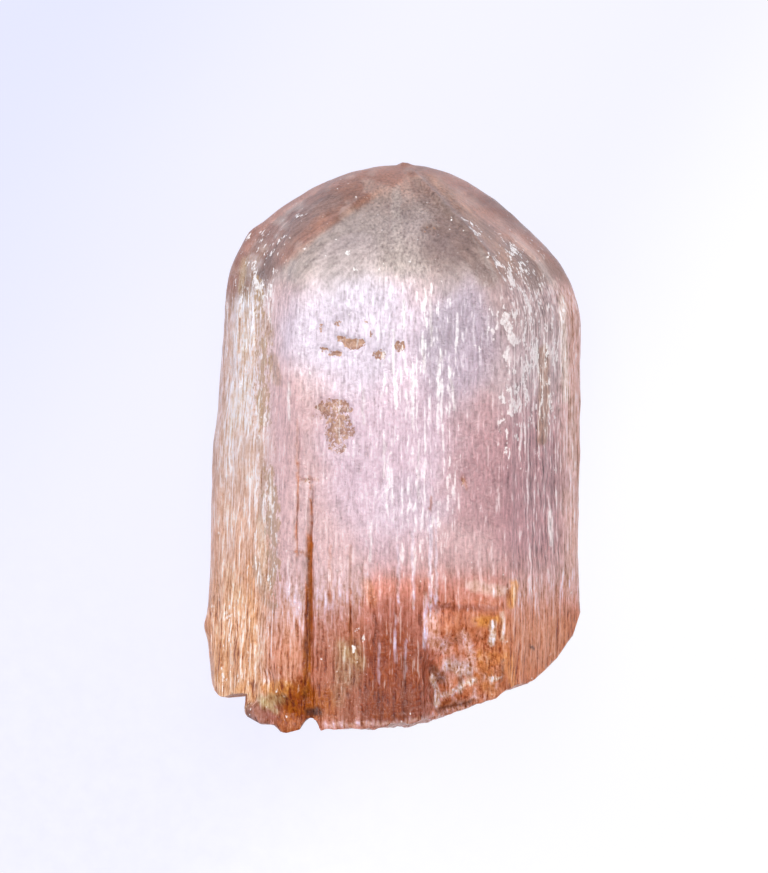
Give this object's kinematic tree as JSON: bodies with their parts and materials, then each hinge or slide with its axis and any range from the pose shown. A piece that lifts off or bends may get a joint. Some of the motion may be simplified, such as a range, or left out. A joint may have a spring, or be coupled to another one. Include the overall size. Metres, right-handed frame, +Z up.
{
  "type": "poudretteite crystal",
  "caption": "Loose pink gem crystal: a flattened six-sided prism with lengthwise ridges, an etched blunt six-sided dome at one end and an oblique broken base at the other.",
  "frame": {"origin": "under the middle of the crystal's box, in the plane of the flat rear face that it rests on", "axes": "+Y along the crystal's long axis from the broken base towards the dome, +Z up out of the broad front face, +X to the right as seen from above with the dome away from the viewer"},
  "size_m": [0.0094, 0.014, 0.0067],
  "materials": {
    "crystal": "satin"
  },
  "bodies": {
    "root": {"crystal": "crystal"}
  },
  "joints": []
}
